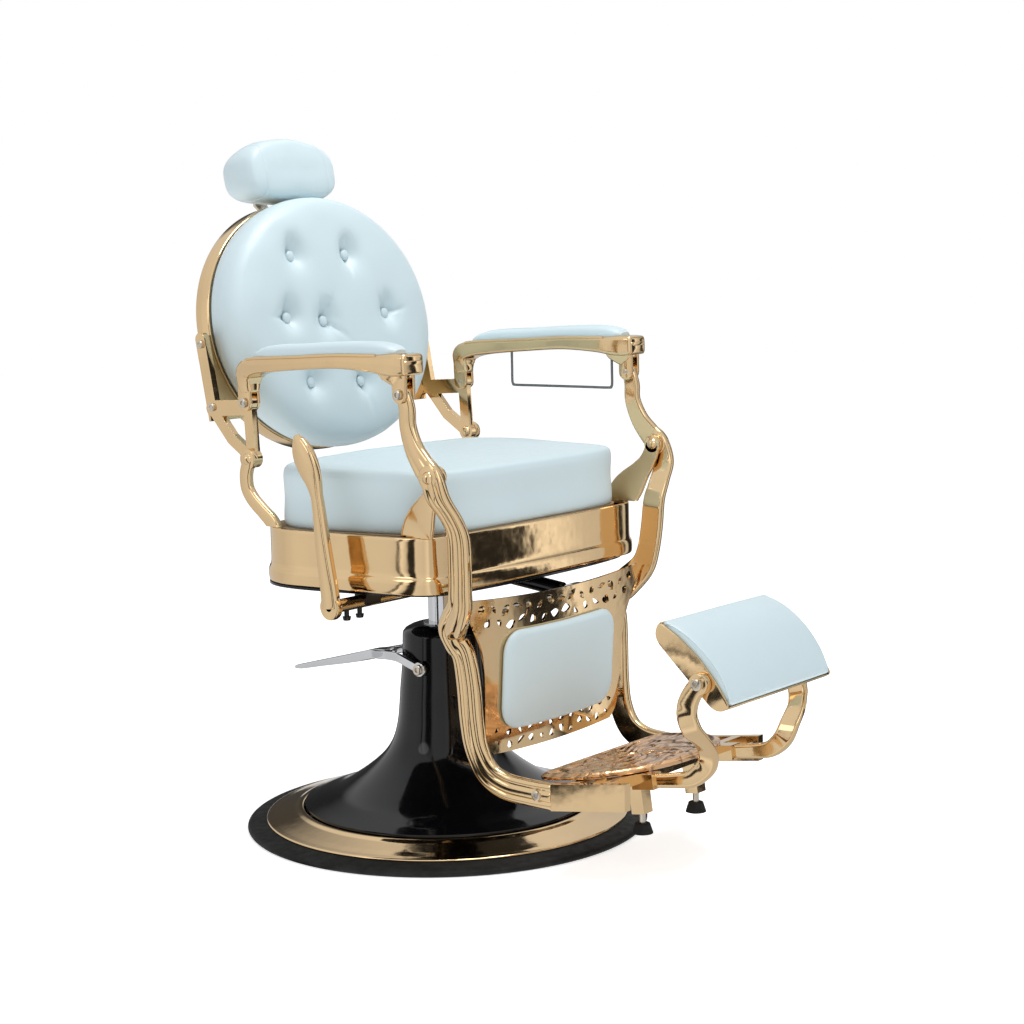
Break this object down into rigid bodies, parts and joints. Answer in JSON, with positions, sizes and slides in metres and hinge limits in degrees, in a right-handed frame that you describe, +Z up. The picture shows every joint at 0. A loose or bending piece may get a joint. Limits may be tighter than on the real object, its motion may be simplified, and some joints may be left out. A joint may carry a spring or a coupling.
{
  "type": "barber chair",
  "caption": "Hydraulic barber chair: round pedestal base, lifting swivel seat, reclining tufted back with headrest, linked arms and leg rest with flip-over pad.",
  "frame": {"origin": "centre of the pedestal base's bottom face, on the floor", "axes": "+Z up along the column; the chair faces -Y; its left side is towards +X"},
  "size_m": [0.69, 1.0944, 1.1774],
  "materials": {
    "gold_polished": "mirror polished, pale gold plating",
    "rubber_dark": "matte dark grey rubber",
    "black_gloss": "gloss black enamel",
    "steel": "bright steel",
    "chrome": "polished chrome",
    "plywood": "bare plywood",
    "vinyl_pale_blue": "smooth padded vinyl, pale blue",
    "rose_gold_relief": "rose-gold plating over a leaf relief",
    "wire_grey": "satin grey wire"
  },
  "bodies": {
    "base": {"base_rubber_ring": "rubber_dark", "base_plate": "black_gloss", "base_trim_ring": "gold_polished", "base_spindle": "steel", "base_bolts": "steel"},
    "column": {"column_bell": "black_gloss", "pump_cylinder": "chrome", "swivel_bearing": "steel", "piston_guide": "chrome", "pump_lever_pins": "steel"},
    "pump_lever": {"pump_lever": "chrome"},
    "seat": {"piston_rod": "chrome", "seat_frame": "black_gloss", "seat_rim": "gold_polished", "seat_board": "plywood", "seat_cushion": "vinyl_pale_blue", "front_bracket_right": "gold_polished", "front_bracket_left": "gold_polished", "rear_post_right": "gold_polished", "rear_post_left": "gold_polished", "pivot_bolts": "gold_polished", "lever_tube": "gold_polished", "lever_tube_bolts": "black_gloss"},
    "recline_lever": {"recline_lever": "gold_polished", "recline_shaft": "steel"},
    "back": {"back_frame_right": "gold_polished", "back_frame_left": "gold_polished", "back_hoop": "gold_polished", "back_board": "plywood", "back_pad": "vinyl_pale_blue", "back_buttons": "vinyl_pale_blue", "back_screws": "steel", "headrest_socket": "steel", "arm_rear_pins": "steel"},
    "leg_frame": {"side_casting_right": "gold_polished", "side_casting_left": "gold_polished", "leg_cross_rods": "steel", "calf_panel": "gold_polished", "calf_pad": "vinyl_pale_blue", "foot_rail_right": "gold_polished", "foot_rail_left": "gold_polished", "foot_plate_frame": "gold_polished", "foot_plate": "rose_gold_relief", "bumper_feet": "rubber_dark", "foot_rest_pins": "steel", "s_arm_right": "gold_polished", "s_arm_left": "gold_polished", "arm_front_pins": "steel"},
    "arm_right": {"arm_casting_right": "gold_polished", "arm_pad_right": "vinyl_pale_blue"},
    "arm_left": {"arm_casting_left": "gold_polished", "arm_pad_left": "vinyl_pale_blue", "towel_bar": "wire_grey"},
    "strut_cylinder": {"strut_cylinder": "black_gloss"},
    "strut_rod": {"strut_rod": "chrome"},
    "flip_pad": {"flip_pad_shell": "gold_polished", "flip_pad_cushion": "vinyl_pale_blue"},
    "headrest_post": {"headrest_bar": "steel"},
    "headrest": {"headrest_hinge": "steel", "headrest_pad": "vinyl_pale_blue"}
  },
  "joints": [
    {"name": "seat_swivel", "type": "hinge", "parent": "base", "child": "column", "pos_m": [0, 0, 0], "axis": [0, 0, 1], "continuous": true},
    {"name": "pump_stroke", "type": "hinge", "parent": "column", "child": "pump_lever", "pos_m": [0, -0.015, 0.279], "axis": [1, 0, 0], "range_deg": [-10, 14]},
    {"name": "seat_lift", "type": "slide", "parent": "column", "child": "seat", "axis": [0, 0, 1], "range_m": [-0.058, 0.12]},
    {"name": "recline_release", "type": "hinge", "parent": "seat", "child": "recline_lever", "pos_m": [0, -0.062, 0.428], "axis": [-1, 0, 0], "range_deg": [0, 18]},
    {"name": "recline", "type": "hinge", "parent": "seat", "child": "back", "pos_m": [0, 0.164, 0.646], "axis": [-1, 0, 0], "range_deg": [0, 40]},
    {"name": "leg_lift", "type": "hinge", "parent": "seat", "child": "leg_frame", "pos_m": [0, -0.243, 0.638], "axis": [-1, 0, 0], "range_deg": [0, 32]},
    {"name": "arm_turn_right", "type": "hinge", "parent": "back", "child": "arm_right", "pos_m": [0, 0.17, 0.738], "axis": [1, 0, 0], "range_deg": [0, 44]},
    {"name": "arm_turn_left", "type": "hinge", "parent": "back", "child": "arm_left", "pos_m": [0, 0.17, 0.738], "axis": [1, 0, 0], "range_deg": [0, 44]},
    {"name": "strut_swing", "type": "hinge", "parent": "seat", "child": "strut_cylinder", "pos_m": [0.104, -0.01, 0.424], "axis": [-1, 0, 0], "range_deg": [0, 5]},
    {"name": "strut_stroke", "type": "slide", "parent": "strut_cylinder", "child": "strut_rod", "axis": [0, -0.9925, -0.1222], "range_m": [0, 0.129]},
    {"name": "pad_flip", "type": "hinge", "parent": "leg_frame", "child": "flip_pad", "pos_m": [0, -0.628, 0.339], "axis": [1, 0, 0], "range_deg": [0, 170]},
    {"name": "headrest_slide", "type": "slide", "parent": "back", "child": "headrest_post", "axis": [0, 0.1736, 0.9848], "range_m": [0, 0.09]},
    {"name": "headrest_tilt", "type": "hinge", "parent": "headrest_post", "child": "headrest", "pos_m": [0, 0.41109, 1.09192], "axis": [-1, 0, 0], "range_deg": [0, 30]}
  ],
  "couplings": [
    {"joint": "leg_lift", "follows": "recline", "ratio": 0.7775},
    {"joint": "arm_turn_right", "follows": "recline", "ratio": 1.0867},
    {"joint": "arm_turn_left", "follows": "recline", "ratio": 1.0867},
    {"joint": "strut_swing", "follows": "recline", "ratio": 0.1153},
    {"joint": "strut_stroke", "follows": "recline", "m_per_rad": 0.1835}
  ]
}
